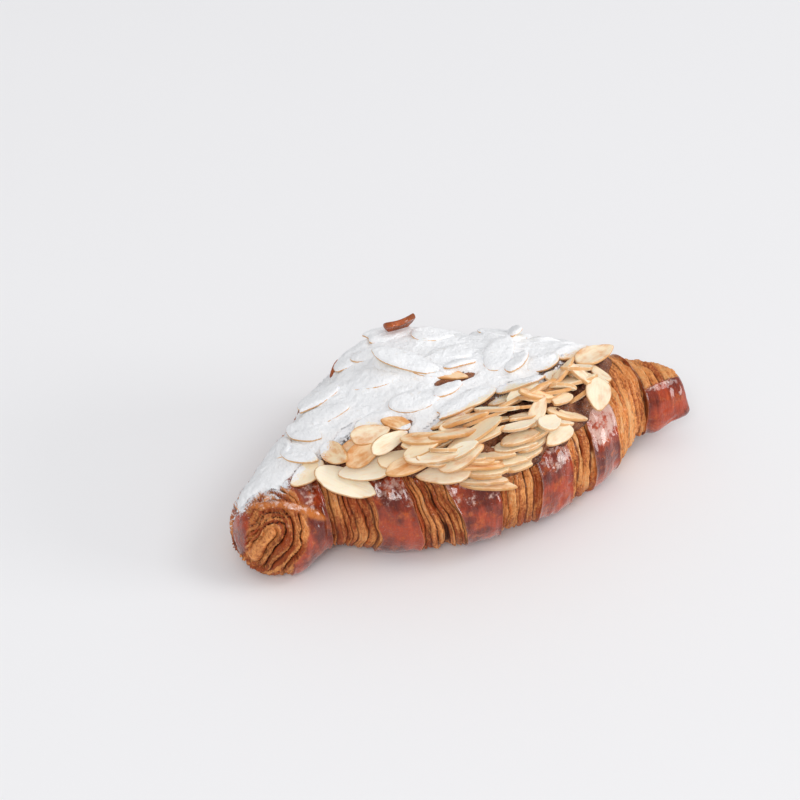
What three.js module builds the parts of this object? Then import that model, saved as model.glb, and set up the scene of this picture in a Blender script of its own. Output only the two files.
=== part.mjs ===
// An almond croissant, standing on a table: a baked loaf of rolled dough, a layer of almond
// cream baked onto its top, and sliced almonds lying where they settled on the cream.
// Millimetres, +Z up, +X along the roll from its blunt left tip to its slim right tip, +Y to
// the back. The origin is on the table, under the middle of the whole croissant.

import * as THREE from "three";

// ---- Driving dimensions ---------------------------------------------------------------

// The loaf: how finely it is drawn, how boxy its section is, how high its widest line sits and
// how far its skin bands stand out.
const DOUGH = { rings: 64, around: 28, squareness: 2.25, waist: 0.42, swell: 0.9 };
// The cream: its middle and half length along the roll, the share of the roll's half width it
// covers to the front and the back, its thickness in the middle and at the edge, and the
// clearance kept under it.
const CREAM = {
  middleX: -1,
  halfLength: 61,
  front: 0.93,
  back: 0.72,
  thickness: 2.4,
  edge: 0.8,
  gap: 0.3,
  clear: 2,
  around: 44,
  rings: 20,
};
// The end of the rolled-up dough, a small hump at the back.
const TAIL = { x: 3, y: 58, spreadX: 9, spreadY: 7, lift: 13 };
// Each sliced almond, with the clearance kept over and around it.
const FLAKE = { thickness: 0.7, outlinePoints: 12, gap: 0.2, margin: 0.5, point: 0.28 };
// How a slice comes to rest, in slopes: the steepest it can lie, the slope it is laid down at,
// and the height it gives up for each unit of slope squared that it is turned away from that.
const REST = { steepest: 0.6, level: -0.22, stiffness: 4, rounds: 6, tries: 3 };
// The grid of heights that things are laid on.
const GRID = { cell: 0.5, lowX: -90, lowY: -35, columns: 360, rows: 240 };

// Cross-sections of the dough from the left tip to the right tip: how far it reaches to the
// front and the back, and the heights of its underside and its crown. An underside below zero
// is pressed flat by the table.
const SECTIONS = [
  { x: -83.5, front: 11, back: 13, base: 11, top: 13 },
  { x: -82, front: 3, back: 20, base: 4, top: 20 },
  { x: -77, front: -3, back: 25, base: 0, top: 26 },
  { x: -68, front: -5, back: 31, base: -1, top: 29 },
  { x: -56, front: -2, back: 39, base: 1, top: 32 },
  { x: -42, front: -9, back: 51, base: -3, top: 36 },
  { x: -25, front: -19, back: 62, base: -4, top: 40 },
  { x: -6, front: -23, back: 68, base: -4, top: 42 },
  { x: 12, front: -22, back: 57, base: -4, top: 41 },
  { x: 30, front: -18, back: 48, base: -3, top: 38 },
  { x: 48, front: -11, back: 39, base: 0, top: 34 },
  { x: 60, front: -2, back: 30, base: 3, top: 30 },
  { x: 70, front: -2, back: 20, base: 5, top: 26 },
  { x: 78, front: -1, back: 14, base: 6, top: 22 },
  { x: 82, front: 1, back: 10, base: 8, top: 17 },
  { x: 83.5, front: 4, back: 6, base: 11, top: 13 },
];

// The bands of smooth outer skin, one for each wrap of the roll; between them the edges of the
// layers show, and the roll is a little slimmer.
const WRAPS = [
  { x: -64, halfWidth: 8 },
  { x: -37, halfWidth: 6 },
  { x: -12, halfWidth: 8 },
  { x: 17, halfWidth: 7 },
  { x: 39, halfWidth: 6 },
  { x: 73, halfWidth: 9 },
];

const MATERIALS = {
  dough: new THREE.MeshStandardMaterial({ color: 0xa8561f, roughness: 0.45, metalness: 0 }),
  cream: new THREE.MeshStandardMaterial({ color: 0x8a4f2c, roughness: 0.85, metalness: 0 }),
  almond: new THREE.MeshStandardMaterial({ color: 0xe9cfa0, roughness: 0.55, metalness: 0 }),
};

// ---- Dough ----------------------------------------------------------------------------

const lowLine = new THREE.CatmullRomCurve3(
  SECTIONS.map((s) => new THREE.Vector3(s.x, s.front, s.base)),
);
const highLine = new THREE.CatmullRomCurve3(
  SECTIONS.map((s) => new THREE.Vector3(s.x, s.back, s.top)),
);

// The cross-section at a share of the way along the roll.
function sectionAt(share) {
  const low = lowLine.getPoint(share);
  const high = highLine.getPoint(share);
  const waist = low.z + DOUGH.waist * (high.z - low.z);
  return {
    x: low.x,
    middle: (low.y + high.y) / 2,
    halfWidth: (high.y - low.y) / 2,
    waist,
    up: high.z - waist,
    down: waist - low.z,
  };
}

// The share of the way along at which the roll passes a given x.
function shareAtX(x) {
  let low = 0;
  let high = 1;
  for (let step = 0; step < 24; step++) {
    const middle = (low + high) / 2;
    if (lowLine.getPoint(middle).x < x) low = middle;
    else high = middle;
  }
  return (low + high) / 2;
}

// The tail of the rolled dough stands a little proud at the back.
function tailLift(x, y) {
  const across = ((x - TAIL.x) / TAIL.spreadX) ** 2 + ((y - TAIL.y) / TAIL.spreadY) ** 2;
  return TAIL.lift * Math.exp(-across);
}

// How far the outer skin stands out at this place along the roll.
function wrapSwell(x) {
  const shares = WRAPS.map((wrap) => 1 - ((x - wrap.x) / wrap.halfWidth) ** 4);
  return DOUGH.swell * Math.max(0, ...shares);
}

const superellipse = (v) => Math.sign(v) * Math.abs(v) ** (2 / DOUGH.squareness);

function doughPoint(share, angle) {
  const s = sectionAt(share);
  const swell = wrapSwell(s.x);
  const side = superellipse(Math.cos(angle));
  const rise = superellipse(Math.sin(angle));
  const y = s.middle + side * (s.halfWidth + swell);
  const z = s.waist + rise * ((rise > 0 ? s.up : s.down) + swell);
  const lift = rise > 0 ? tailLift(s.x, y) * rise : 0;
  return new THREE.Vector3(s.x, y, Math.max(0, z + lift));
}

// A unit sphere with its poles on X, each ring drawn out to the section it belongs to.
function makeDough() {
  const geometry = new THREE.SphereGeometry(1, DOUGH.around, DOUGH.rings);
  const place = geometry.attributes.position;
  for (let i = 0; i < place.count; i++) {
    const ring = Math.floor(i / (DOUGH.around + 1));
    const step = i % (DOUGH.around + 1);
    const share = ring / DOUGH.rings;
    const angle = (-2 * Math.PI * (step % DOUGH.around)) / DOUGH.around;
    const pole = ring === 0 || ring === DOUGH.rings;
    const s = sectionAt(share);
    const point = pole ? new THREE.Vector3(s.x, s.middle, s.waist) : doughPoint(share, angle);
    place.setXYZ(i, point.x, point.y, point.z);
  }
  return closed(geometry);
}

// ---- Heights of everything laid so far, on a square grid over the table ---------------

const heights = new Float32Array(GRID.columns * GRID.rows);
const gridX = (column) => GRID.lowX + (column + 0.5) * GRID.cell;
const gridY = (row) => GRID.lowY + (row + 0.5) * GRID.cell;
const gridColumn = (x) => Math.floor((x - GRID.lowX) / GRID.cell);
const gridRow = (y) => Math.floor((y - GRID.lowY) / GRID.cell);

// Raises the grid to one triangle's surface where it lies above it.
function layTriangle(a, b, c) {
  const area = (b.x - a.x) * (c.y - a.y) - (b.y - a.y) * (c.x - a.x);
  if (area < 1e-9) return;
  const lastRow = gridRow(Math.max(a.y, b.y, c.y));
  const lastColumn = gridColumn(Math.max(a.x, b.x, c.x));
  for (let row = gridRow(Math.min(a.y, b.y, c.y)); row <= lastRow; row++) {
    for (let column = gridColumn(Math.min(a.x, b.x, c.x)); column <= lastColumn; column++) {
      const [x, y] = [gridX(column), gridY(row)];
      const forB = ((x - a.x) * (c.y - a.y) - (y - a.y) * (c.x - a.x)) / area;
      const forC = ((b.x - a.x) * (y - a.y) - (b.y - a.y) * (x - a.x)) / area;
      if (forB < -0.01 || forC < -0.01 || forB + forC > 1.01) continue;
      const z = a.z + forB * (b.z - a.z) + forC * (c.z - a.z);
      const index = row * GRID.columns + column;
      heights[index] = Math.max(heights[index], z);
    }
  }
}

// Raises the grid to the upper side of a geometry.
function lay(geometry) {
  const corners = geometry.toNonIndexed().attributes.position;
  const corner = (i) => new THREE.Vector3().fromBufferAttribute(corners, i);
  for (let i = 0; i < corners.count; i += 3) layTriangle(corner(i), corner(i + 1), corner(i + 2));
}

// The highest thing within a radius of a point of the table.
function heightNear(x, y, radius) {
  let highest = 0;
  for (let row = gridRow(y - radius); row <= gridRow(y + radius); row++) {
    for (let column = gridColumn(x - radius); column <= gridColumn(x + radius); column++) {
      highest = Math.max(highest, heights[row * GRID.columns + column]);
    }
  }
  return highest;
}

// ---- Almond cream ---------------------------------------------------------------------

// How thick the cream is at a point of its unit disc, thinning to its edge.
const creamThickness = (radius) =>
  CREAM.edge + (CREAM.thickness - CREAM.edge) * (1 - radius ** 4);

// The place on the table under a point of the cream's unit disc.
function creamPlan(u, v) {
  const x = CREAM.middleX + CREAM.halfLength * u;
  const s = sectionAt(shareAtX(x));
  const reach = v < 0 ? CREAM.front : CREAM.back;
  return { x, y: s.middle + reach * s.halfWidth * v };
}

// A unit sphere pressed flat: its upper half is the top of the cream, its lower half the
// underside, and its equator the edge, with the rings respaced evenly over the disc.
function makeCream() {
  const geometry = new THREE.SphereGeometry(1, CREAM.around, CREAM.rings);
  geometry.rotateX(Math.PI / 2);
  const place = geometry.attributes.position;
  for (let i = 0; i < place.count; i++) {
    const [u, v, height] = [place.getX(i), place.getY(i), place.getZ(i)];
    const radius = Math.min(1, Math.hypot(u, v));
    const evenRadius = Math.asin(radius) / (Math.PI / 2);
    const spread = radius > 0 ? evenRadius / radius : 0;
    const { x, y } = creamPlan(u * spread, v * spread);
    const under = heightNear(x, y, CREAM.clear) + CREAM.gap;
    const share = (1 + Math.sign(Math.round(height * 100))) / 2;
    place.setXYZ(i, x, y, under + share * creamThickness(evenRadius));
  }
  return closed(geometry);
}

// ---- Sliced almonds -------------------------------------------------------------------

// Each slice: where its middle lies, the heading of its pointed end in degrees from +X, its
// length and width, and for one standing on its edge, its lean to the right of that heading in
// degrees. A slice rests on all the slices listed before it.
const SLICES = [
  { x: -59, y: 9, heading: 190, length: 13, width: 8 },
  { x: -50, y: 0, heading: -48, length: 21, width: 10 },
  { x: -43, y: -1, heading: 160, length: 18, width: 9 },
  { x: -58, y: 16, heading: -66, length: 16, width: 8 },
  { x: -22, y: -14, heading: 158, length: 18, width: 8 },
  { x: -34, y: -4, heading: 5, length: 13, width: 7 },
  { x: -45, y: 26, heading: -25, length: 19, width: 9 },
  { x: -44, y: 35, heading: 175, length: 20, width: 10 },
  { x: -53, y: 23, heading: -65, length: 16, width: 8 },
  { x: -33, y: 12, heading: -2, length: 15, width: 8 },
  { x: -23, y: 48, heading: 20, length: 18, width: 10 },
  { x: -10, y: 50, heading: 170, length: 19, width: 11 },
  { x: 3, y: 41, heading: -15, length: 15, width: 9 },
  { x: 27, y: 36, heading: 150, length: 17, width: 9 },
  { x: 48, y: 31, heading: -30, length: 15, width: 8 },
  { x: -13, y: -17, heading: 163, length: 22, width: 8 },
  { x: -12, y: -17, heading: -24, length: 15, width: 5 },
  { x: -13, y: -17, heading: 162, length: 14, width: 5 },
  { x: -16, y: -16, heading: -25, length: 14, width: 5 },
  { x: 12, y: -14, heading: 20, length: 9, width: 6 },
  { x: 0, y: -15, heading: 162, length: 13, width: 5 },
  { x: -21, y: -5, heading: -9, length: 13, width: 7 },
  { x: -12, y: -4, heading: 188, length: 14, width: 6 },
  { x: -4, y: -4, heading: 13, length: 10, width: 6 },
  { x: -1, y: -8, heading: -3, length: 14, width: 6 },
  { x: 8, y: -10, heading: 183, length: 16, width: 6 },
  { x: 4, y: -15, heading: 5, length: 14, width: 6 },
  { x: -10, y: -15, heading: -12, length: 22, width: 6 },
  { x: -11, y: -13, heading: 182, length: 21, width: 10 },
  { x: 18, y: -17, heading: 207, length: 14, width: 7 },
  { x: 15, y: -16, heading: 30, length: 15, width: 7 },
  { x: 11, y: 1, heading: 1, length: 18, width: 6 },
  { x: 10, y: -6, heading: 178, length: 18, width: 6 },
  { x: 24, y: -1, heading: -34, length: 13, width: 6 },
  { x: 24, y: -7, heading: 192, length: 11, width: 5 },
  { x: 33, y: 4, heading: 4, length: 17, width: 9 },
  { x: 39, y: 0, heading: -38, length: 14, width: 6 },
  { x: 38, y: -8, heading: -115, length: 13, width: 9 },
  { x: 46, y: 4, heading: 100, length: 10, width: 6 },
  { x: 42, y: 16, heading: 187, length: 17, width: 8 },
  { x: 15, y: 3, heading: -7, length: 18, width: 7 },
  { x: -43, y: 6, heading: 171, length: 13, width: 8 },
  { x: -42, y: 2, heading: 3, length: 14, width: 9 },
  { x: -38, y: 6, heading: -17, length: 13, width: 8 },
  { x: -29, y: 6, heading: 140, length: 10, width: 7 },
  { x: -35, y: -1, heading: 13, length: 15, width: 6, lean: 55 },
  { x: -31, y: -10, heading: -3, length: 19, width: 8 },
  { x: -50, y: 7, heading: -72, length: 13, width: 8 },
  { x: -12, y: -1, heading: 5, length: 17, width: 7 },
  { x: 29, y: 12, heading: 17, length: 15, width: 8 },
  { x: -24, y: 30, heading: 166, length: 21, width: 11 },
  { x: -19, y: 12, heading: -18, length: 17, width: 9 },
  { x: 3, y: 28, heading: 170, length: 16, width: 8 },
  { x: -7, y: 22, heading: -38, length: 23, width: 8 },
  { x: -13, y: 28, heading: -50, length: 26, width: 10 },
  { x: -6, y: 3, heading: 187, length: 25, width: 9 },
  { x: 18, y: 22, heading: 45, length: 23, width: 10 },
  { x: 49, y: 12, heading: 20, length: 20, width: 9 },
];

// How wide a slice is at a share of its half length, as a share of its half width: an ellipse
// drawn in towards the pointed end.
function sliceWidth(share) {
  return Math.sqrt(Math.max(0, 1 - share * share)) * (1 - FLAKE.point * share);
}

function sliceShape(length, width) {
  const outline = [];
  for (let i = 0; i < FLAKE.outlinePoints; i++) {
    const angle = (2 * Math.PI * i) / FLAKE.outlinePoints;
    const share = Math.cos(angle);
    const side = Math.sign(Math.sin(angle));
    outline.push(new THREE.Vector2((length / 2) * share, (width / 2) * sliceWidth(share) * side));
  }
  return new THREE.Shape(outline);
}

// The grid cells under a slice, with how far each is from its middle.
function cellsUnder(slice, tilt) {
  const heading = THREE.MathUtils.degToRad(slice.heading);
  const [c, s] = [Math.cos(heading), Math.sin(heading)];
  const halfLength = slice.length / 2 + FLAKE.margin;
  const halfWidth = slice.width / 2 + FLAKE.margin;
  const found = [];
  const firstColumn = gridColumn(slice.x - halfLength);
  const firstRow = gridRow(slice.y - halfLength);
  const across = Math.ceil((2 * halfLength) / GRID.cell) + 1;
  for (let row = firstRow; row < firstRow + across; row++) {
    for (let column = firstColumn; column < firstColumn + across; column++) {
      const dx = gridX(column) - slice.x;
      const dy = gridY(row) - slice.y;
      // Lengths measured in the tilted plane of the slice.
      const slopeAlong = tilt.x * c + tilt.y * s;
      const slopeAcross = -tilt.x * s + tilt.y * c;
      const along = (dx * c + dy * s) * Math.hypot(1, slopeAlong);
      const over = (-dx * s + dy * c) * Math.hypot(1, slopeAcross);
      if (Math.abs(over) > halfWidth * sliceWidth(along / halfLength)) continue;
      found.push({ dx, dy, index: row * GRID.columns + column });
    }
  }
  return found;
}

// The lowest height at which a slice with this tilt clears everything under it.
function restingHeight(cells, tilt) {
  let height = 0;
  for (const cell of cells) {
    const needed = heights[cell.index] - tilt.x * cell.dx - tilt.y * cell.dy;
    height = Math.max(height, needed);
  }
  return height + FLAKE.gap;
}

// The tilt a slice comes to rest at: where its middle lies lowest, held back by the sticky
// cream from turning far out of the way it was laid down, a little down to the back.
function settle(slice) {
  const cells = cellsUnder(slice, { x: 0, y: 0 });
  let best = { x: 0, y: REST.level, cost: Infinity };
  for (let round = 0; round < REST.rounds; round++) {
    const about = { ...best };
    const step = REST.steepest / REST.tries / 2 ** round;
    for (let i = -REST.tries; i <= REST.tries; i++) {
      for (let j = -REST.tries; j <= REST.tries; j++) {
        const tilt = { x: about.x + i * step, y: about.y + j * step };
        const turned = Math.hypot(tilt.x, tilt.y - REST.level);
        if (turned > REST.steepest) continue;
        const cost = restingHeight(cells, tilt) + REST.stiffness * turned ** 2;
        if (cost < best.cost) best = { ...tilt, cost };
      }
    }
  }
  return best;
}

// A slice that leans keeps its stated lean and only comes down until it touches.
function leaningTilt(slice) {
  const side = THREE.MathUtils.degToRad(slice.heading - 90);
  const slope = -Math.tan(THREE.MathUtils.degToRad(slice.lean));
  return { x: slope * Math.cos(side), y: slope * Math.sin(side) };
}

function makeSlice(slice, name) {
  const shape = sliceShape(slice.length, slice.width);
  const geometry = new THREE.ExtrudeGeometry(shape, {
    depth: FLAKE.thickness,
    bevelEnabled: false,
  });
  const tilt = slice.lean === undefined ? settle(slice) : leaningTilt(slice);
  const cells = cellsUnder(slice, tilt);
  const height = restingHeight(cells, tilt);
  const stretch = Math.hypot(1, tilt.x, tilt.y);
  for (const cell of cells) {
    const top = height + tilt.x * cell.dx + tilt.y * cell.dy + FLAKE.thickness * stretch;
    heights[cell.index] = Math.max(heights[cell.index], top);
  }

  const up = new THREE.Vector3(-tilt.x, -tilt.y, 1).normalize();
  const heading = THREE.MathUtils.degToRad(slice.heading);
  const along = new THREE.Vector3(Math.cos(heading), Math.sin(heading), 0);
  along.addScaledVector(up, -along.dot(up)).normalize();
  const side = new THREE.Vector3().crossVectors(up, along);
  const mesh = new THREE.Mesh(closed(geometry), MATERIALS.almond);
  mesh.name = name;
  mesh.quaternion.setFromRotationMatrix(new THREE.Matrix4().makeBasis(along, side, up));
  mesh.position.set(slice.x, slice.y, height);
  return mesh;
}

// ---- Assembly -------------------------------------------------------------------------

// A geometry with only its positions, so that its shared corners can be merged.
function closed(geometry) {
  geometry.deleteAttribute("normal");
  geometry.deleteAttribute("uv");
  return geometry;
}

function named(name, geometry, material) {
  const mesh = new THREE.Mesh(geometry, material);
  mesh.name = name;
  return mesh;
}

// Each thing is laid in turn, because the next one rests on it.
function makeCroissant() {
  const croissant = new THREE.Group();
  const dough = makeDough();
  lay(dough);
  const cream = makeCream();
  lay(cream);
  croissant.add(named("croissant_dough", dough, MATERIALS.dough));
  croissant.add(named("almond_cream", cream, MATERIALS.cream));
  SLICES.forEach((slice, i) => {
    croissant.add(makeSlice(slice, `almond_slice_${String(i + 1).padStart(2, "0")}`));
  });
  return croissant;
}

// Puts the origin on the table under the middle of the group.
function centre(group) {
  const box = new THREE.Box3().setFromObject(group);
  group.position.set(-(box.min.x + box.max.x) / 2, -(box.min.y + box.max.y) / 2, 0);
}

const croissant = makeCroissant();
centre(croissant);

export default croissant;
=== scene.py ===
import math
from itertools import product

import bpy
import numpy as np
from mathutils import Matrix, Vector
from mathutils.bvhtree import BVHTree


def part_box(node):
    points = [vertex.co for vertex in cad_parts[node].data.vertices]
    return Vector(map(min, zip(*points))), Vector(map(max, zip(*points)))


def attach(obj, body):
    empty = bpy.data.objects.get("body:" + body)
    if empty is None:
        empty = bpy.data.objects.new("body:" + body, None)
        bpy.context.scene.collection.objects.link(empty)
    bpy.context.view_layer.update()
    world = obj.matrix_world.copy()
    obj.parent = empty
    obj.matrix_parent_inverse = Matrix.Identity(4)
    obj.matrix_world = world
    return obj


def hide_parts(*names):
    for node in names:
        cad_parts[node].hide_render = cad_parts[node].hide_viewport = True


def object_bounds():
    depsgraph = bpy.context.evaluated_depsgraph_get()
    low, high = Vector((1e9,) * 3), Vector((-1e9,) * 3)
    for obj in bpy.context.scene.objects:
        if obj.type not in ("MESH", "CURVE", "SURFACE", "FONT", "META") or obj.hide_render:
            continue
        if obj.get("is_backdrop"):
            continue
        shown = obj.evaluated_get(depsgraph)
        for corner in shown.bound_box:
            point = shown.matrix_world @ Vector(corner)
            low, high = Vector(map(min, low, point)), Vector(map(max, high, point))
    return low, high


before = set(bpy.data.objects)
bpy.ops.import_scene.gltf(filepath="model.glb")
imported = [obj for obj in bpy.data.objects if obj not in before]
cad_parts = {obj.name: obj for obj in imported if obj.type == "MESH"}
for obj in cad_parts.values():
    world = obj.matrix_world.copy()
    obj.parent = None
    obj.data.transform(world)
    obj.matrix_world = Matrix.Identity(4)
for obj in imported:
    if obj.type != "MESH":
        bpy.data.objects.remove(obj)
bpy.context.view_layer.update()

MM = 0.001
UP = np.array([0.0, 0.0, 1.0])

# ---- Driving values ----

CAMERA = {"aim": (1.9, 40.0, 0), "azimuth": -27.4, "elevation": 40, "distance": 785, "lens": 100}

# The dough is drawn on rays from a line along its middle. The line stops short of both tips,
# and the rays fan out around its ends.
SPINE = {"left": -66, "right": 74, "centre": 0.45}
STATIONS = {"left": 96, "middle": 700, "right": 36, "around": 119}
SAMPLES = {"left": 34, "middle": 140, "right": 18, "around": 256}

# The bands of glossy outer skin, as ranges along the roll, and the deep creases between folds:
# place, depth and half width.
SKIN_BANDS = [(-71, -56), (-42.5, -32), (-20, -5), (10, 23), (33, 45.5), (63.5, 90)]
BAND_EDGES = [edge for band in SKIN_BANDS for edge in band]
CREASES = [
    (-54.8, 1.6, 0.5),
    (-50.5, 1.0, 0.35),
    (-31.2, 1.0, 0.3),
    (-26.3, 2.8, 0.8),
    (-3.6, 1.6, 0.4),
    (-1.5, 1.0, 0.3),
    (8.6, 0.9, 0.35),
    (25.5, 1.2, 0.35),
    (29.2, 1.9, 0.6),
    (47.0, 0.9, 0.35),
    (60.5, 1.1, 0.4),
    (62.8, 1.2, 0.4),
]

# The rolled-up end of the dough at the left tip.
ROLL = {
    "centre": (-79.0, -21.0, 17.0),
    "out": (-0.75, -0.62, 0.2),
    "long_axis": (0.50, -0.23, 0.84),
    "half_core": 5.8,
    "core": 1.7,
    "pitch": 2.6,
    "radius": 11.5,
}
# A patch of smooth skin at the far left of the rolled-up end.
HEAD_SKIN = {"at": (-83, -12, 15), "half_size": (6, 5, 8)}
# The pointed corner of the right tip.
TIP_CORNER = {"at": (79, -26, 12), "reach": 4.5, "pull": (2.4, -1.0, -1.6), "end": 78.5, "flatten": 0.55,
              "lift": 2.0, "tuck": 3.0}
# The smooth strip of skin that crosses over the top of the left tip.
STRIP = {"path": [(-79, -11, 25.5), (-70.7, -17.5, 28), (-64, -22, 26), (-57, -25, 21)], "half_width": 1.3}

# The front border of the icing sugar, from left to right.
SUGAR_BORDER = [
    (-90, -9), (-76, -9), (-70, -14), (-60, -13), (-54, -14), (-44, -9), (-33, -12), (-27, -24), (-17, -24),
    (4, -22), (12, -17), (21, -24), (28, -16), (36, -10), (50, -6), (58, 12), (90, 24),
]
# The sheet of sugar: its grid, its thickness, how far behind its border it is whole, how many
# cells of gap between slices it bridges and how deep it fills them. Then the height of a cap.
SUGAR = {"cell": 0.4, "thickness": 0.75, "fade": 5.0, "close": 5, "fill": 1.8, "cap": 0.85}
# Where the sheet ends: mm behind its border, mm above the table, and share of cover.
SUGAR_EDGE = {"border": 0.3, "lowest": 4, "cover": 0.04}
# Places that the sugar did not reach: the curled-up end of dough at the back, and the hollow
# under the raised edge of a slice. Each has a middle and half sizes.
BARE_PLACES = [
    ((-5, 29, 48.5), (7.5, 6, 5)),
    ((-2, -6.3, 45), (8, 2.1, 8)),
    ((-29, -16, 44), (7, 3, 6)),
]

# How toasted each sliced almond is, where it is not left to chance.
TOAST = {
    5: 0.3, 16: 0.75, 18: 0.5, 20: 0.35, 23: 0.5, 24: 0.75, 26: 0.4, 33: 0.6, 42: 0.75, 43: 0.85,
    44: 0.5, 45: 1.0, 46: 0.25, 47: 0.8, 48: 0.6, 49: 0.6, 54: 0.5, 58: 0.55,
}
# How far a slice that leans on others is propped up, in degrees, by its number in the CAD. Below
# zero it is tipped the other way.
PROPPED = {
    16: 14, 17: 16, 18: 18, 19: 18, 21: 12, 22: 14, 23: 20, 24: 20, 25: 22, 26: 24, 27: 22, 28: 12,
    29: 16, 32: 24, 33: 22, 34: 16, 41: 12, 42: -26, 43: -12, 44: -24, 45: -14, 48: -34, 49: 18,
}
# Small slices that lie loose on the pile: x, y, heading, length, width, propped, toast.
LOOSE_SLICES = [
    (-18, -38.4, 12, 20, 7, 24, 0.8),
    (35.5, -23.5, -63, 11, 5.5, 10, 0.4),
    (2.5, -1.5, 4, 13, 7, 30, 0.95),
    (-7, -10.8, 11, 12, 6, 16, 0.3),
    (21, -7, 42, 17, 7, 34, 0.3),
    (-22.5, -36.2, -30, 9, 5.5, 10, 0.3),
    (13.5, -33, 40, 13, 5.5, 24, 0.45),
    (0, -30, 14, 14, 6, 26, 0.35),
    (-60, 2, 60, 11, 7, 8, 0.2),
    (40, 6, -20, 12, 7, 8, 0.3),
    (30, 18, 25, 13, 7, -6, 0.3),
    (21, 21, 70, 14, 7, 38, 0.3),
    (14, 22, 15, 13, 7, -34, 0.3),
    (37, 14.5, 20, 12, 7, -40, 0.3),
    (31, 12, 60, 12, 6, 30, 0.3),
    (-20, 20, -35, 13, 7, -8, 0.3),
]
# Slices that stick out of the steep front of the cream: x, y, z, then as above.
LEDGE_SLICES = [
    (-9.6, -40.4, 30.0, -38, 21, 6.5, -8, 0.5),
    (-10.5, -40.4, 31.8, -31, 17, 6.0, 2, 0.3),
    (-8.5, -40.2, 33.4, -28, 15, 6.0, 6, 0.6),
    (-9.5, -40.0, 35.0, -24, 17, 6.0, 4, 0.2),
    (-5.5, -40.0, 37.0, -20, 25, 7.0, 8, 0.15),
    (2.0, -40.6, 33.6, -16, 14, 6.5, -6, 0.3),
    (4.0, -40.2, 36.0, -4, 15, 6.5, 4, 0.15),
    (9.5, -38.6, 38.2, 14, 14, 6.0, 8, 0.35),
    (-3.5, -39.4, 39.4, -17, 18, 6.5, 8, 0.3),
    (3.0, -39.2, 39.8, -9, 16, 6.5, 8, 0.1),
    (10.5, -37.8, 40.8, 10, 14, 6.0, 10, 0.2),
    (4.5, -38.6, 42.2, 0, 15, 6.5, 10, 0.45),
]
# The shingled heap at the front: how many slices are tried in turn, where they lie between its
# front and back edges, how they head (at its left, per mm to the right, per mm inwards), their
# sizes and tilt, and how high their middles may come.
HEAP = {
    "count": 40,
    "x": (-30, 37),
    "front": [(-30, -36), (-18, -39.5), (0, -40.5), (10, -38.5), (22, -34), (38, -26)],
    "back": [(-30, -29), (-18, -27), (4, -26), (12, -22), (24, -23), (38, -15)],
    "heading": (-24, 0.42, 1.3),
    "length": (11, 18),
    "width": (4.4, 6.6),
    "propped": (14, 34),
    "highest": 48.0,
}
# A slice's mesh: points around it, the rounded share of its rim, its most bend and, where the CAD
# has no such slice, its thickness.
FLAKE = {"around": 56, "edge": 0.08, "cup": 0.55, "loose_thickness": 1.25}
# How the CAD's slices are drawn: thicker, and narrower so that they stay clear of each other.
PACKED = {"thicker": 0.35, "width": 0.97, "propped_width": 0.9}
BROKEN_SHARE = 0.28
MOST_TOASTED = {"packed": 0.38, "heaped": 0.8}
# Shares of the way from the middle of a slice to its rim at which its mesh has a ring of points.
FLAKE_RINGS = np.array([0.3, 0.55, 0.75, 0.87, 0.94, 0.98, 1.0])
# A slice's number seeds its shape. Those that the CAD has not are numbered from here on.
FIRST_HEAPED, FIRST_LEDGE = 100, 200

# The ends of dough that curl up bare: number, middle, long axis, cross axis, size and bend.
CURLS = [
    (301, (-5, 26.5, 46.2), (0.98, -0.1, 0.14), (-0.1, -0.45, 0.88), (11.5, 6.5, 2.0), (1.2, -0.9)),
    (302, (-29, 27.5, 34.5), (0.5, 0.2, 0.84), (-0.7, -0.5, 0.5), (7, 4, 1.5), (0.8, 0.5)),
]
CURL_FACTS = {
    "skin": 1, "ridge": 1, "tint": 0.5, "height": 0.5, "strip": 0.35, "edge": 0, "sugar": 0, "glaze": 0,
}

# The lowest and highest relief of the dough, and how far its underside stays off the table.
RELIEF = {"lowest": -3.8, "highest": 1.5, "off_table": 0.02}
# The mesh of the cream, and how far apart its upper and lower sheets are.
CREAM = {"rings": 120, "around": 440, "thickness": 3.0}

# The softboxes: turn from the front, elevation, size in metres and power. All are as far away.
LIGHT_DISTANCE = 4000
LIGHT_AIM = (0, 0, 20)
LIGHTS = {
    "key": (66, 48, (1.7, 1.2), 29),
    "side": (56, 13, (1.8, 1.5), 56),
    "top": (-15, 82, (5.0, 4.2), 28),
    "front": (-36, 45, (1.6, 1.0), 46),
}
SKY = {"Color": (0.97, 0.98, 1.0, 1), "Strength": 0.49}
FLOOR_HALF_SIZE = 12.0  # metres

# A height above everything, from which rays look down.
ABOVE = 200.0
# Large odd numbers that scatter the neighbouring cells of the noise.
CELL_MIX = np.array([374761393, 668265263, 1440662683])
SEED_MIX = 1274126177

# ---- Noise ----


def lattice(cell, seed):
    """A fixed random value from -1 to 1 for each whole-numbered cell."""
    mixed = (cell @ CELL_MIX + seed * SEED_MIX) & 0xFFFFFFFF
    mixed = ((mixed ^ (mixed >> 13)) * SEED_MIX) & 0xFFFFFFFF
    return ((mixed ^ (mixed >> 16)) & 0xFFFF) / 32767.5 - 1


def noise(points, size, seed=0):
    """Smooth noise from -1 to 1 with features of about this size; size may differ by axis."""
    scaled = points / np.asarray(size, float)
    cell = np.floor(scaled).astype(np.int64)
    part = scaled - cell
    part = part * part * (3 - 2 * part)
    total = np.zeros(len(points))
    for corner in product((0, 1), repeat=3):
        share = np.prod(np.where(np.array(corner) == 1, part, 1 - part), axis=1)
        total += share * lattice(cell + np.array(corner), seed)
    return total


def layered_noise(points, size, octaves, seed):
    """Noise with finer and fainter noise on top of it."""
    total = np.zeros(len(points))
    for i in range(octaves):
        total += noise(points, np.asarray(size, float) / 2**i, seed + 31 * i) / 2**i
    return total


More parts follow.
